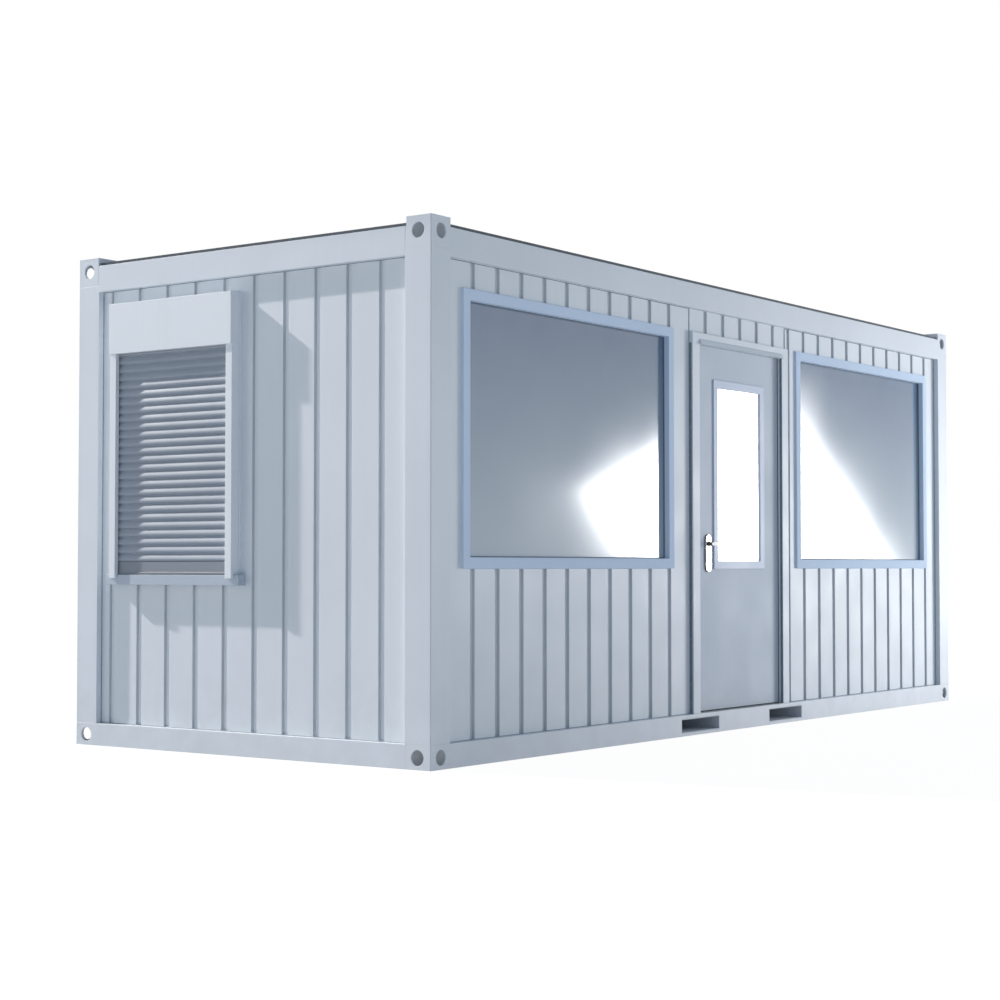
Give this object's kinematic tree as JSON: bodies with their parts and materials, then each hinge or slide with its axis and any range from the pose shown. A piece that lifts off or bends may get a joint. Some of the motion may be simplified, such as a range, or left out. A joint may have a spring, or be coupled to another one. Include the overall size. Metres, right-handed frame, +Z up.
{
  "type": "office container",
  "caption": "Steel site office cabin with corner castings, profiled panel walls, wide fixed windows, an entrance door with lever handle, a shuttered gable window and fork pockets.",
  "frame": {"origin": "on the ground under the middle of the plan", "axes": "+Z up, +X along the length away from the gable with the shuttered window, the door side faces -Y"},
  "size_m": [6.099, 2.449, 2.635],
  "materials": {
    "frame_paint": "smooth satin coat on pressed steel",
    "panel_paint": "satin coil coat on profiled sheet",
    "window_paint": "satin blue-grey coat",
    "door_paint": "satin coat on sheet steel",
    "window_glass": "clear sealed unit",
    "door_glass": "clear sealed unit",
    "seal": "matt seal",
    "roof_seal": "dark weathered sealing strip",
    "galvanised": "spangled zinc coat",
    "handle_metal": "polished",
    "cylinder_metal": "satin nickel plated brass",
    "hinge_metal": "zinc plated",
    "aluminium": "mill finish strip",
    "shutter_paint": "satin coat on rolled aluminium",
    "sill_metal": "satin blue-grey coat on aluminium",
    "slat_plastic": "pale extruded slats",
    "window_plastic": "white extruded frame",
    "deck_board": "sheet flooring on board",
    "ceiling_board": "white laminate on board"
  },
  "bodies": {
    "cabin": {"bottom_castings": "frame_paint", "top_castings": "frame_paint", "corner_posts": "frame_paint", "bottom_rail_front": "frame_paint", "bottom_rail_rear": "frame_paint", "bottom_rail_left": "frame_paint", "bottom_rail_right": "frame_paint", "top_rail_front": "frame_paint", "top_rail_rear": "frame_paint", "top_rail_left": "frame_paint", "top_rail_right": "frame_paint", "fork_sleeves": "frame_paint", "floor_beams": "galvanised", "floor_deck": "deck_board", "ceiling": "ceiling_board", "roof_edge": "roof_seal", "roof_sheet": "galvanised", "front_wall_left": "panel_paint", "front_wall_right": "panel_paint", "front_wall_over_door": "panel_paint", "rear_wall": "panel_paint", "gable_wall_left": "panel_paint", "gable_wall_right": "panel_paint", "window_frame_left": "window_paint", "window_frame_right": "window_paint", "window_seals": "seal", "window_glass": "window_glass", "gable_window_frame": "window_plastic", "gable_window_glass": "window_glass", "shutter_box": "shutter_paint", "shutter_guides": "shutter_paint", "shutter_curtain": "slat_plastic", "shutter_sill": "sill_metal", "shutter_base": "shutter_paint", "door_jambs": "door_paint", "door_head": "door_paint", "door_threshold": "aluminium", "drip_strip": "door_paint", "hinges_on_frame": "hinge_metal"},
    "door": {"door_leaf": "door_paint", "door_light_frame": "window_paint", "door_light_glass": "door_glass", "hinges_on_leaf": "hinge_metal", "handle_plates": "handle_metal", "lock_cylinder": "cylinder_metal"},
    "door_handle": {"lever_handles": "handle_metal", "handle_spindle": "hinge_metal"}
  },
  "joints": [
    {"name": "door_swing", "type": "hinge", "parent": "cabin", "child": "door", "pos_m": [0.519, -1.12, 1.192], "axis": [0, 0, -1], "range_deg": [0, 90]},
    {"name": "handle_turn", "type": "hinge", "parent": "door", "child": "door_handle", "pos_m": [-0.352, -1.1515, 1.093], "axis": [0, 1, 0], "range_deg": [0, 40], "stiffness_Nm_per_rad": 2, "springref_deg": -28.65}
  ]
}
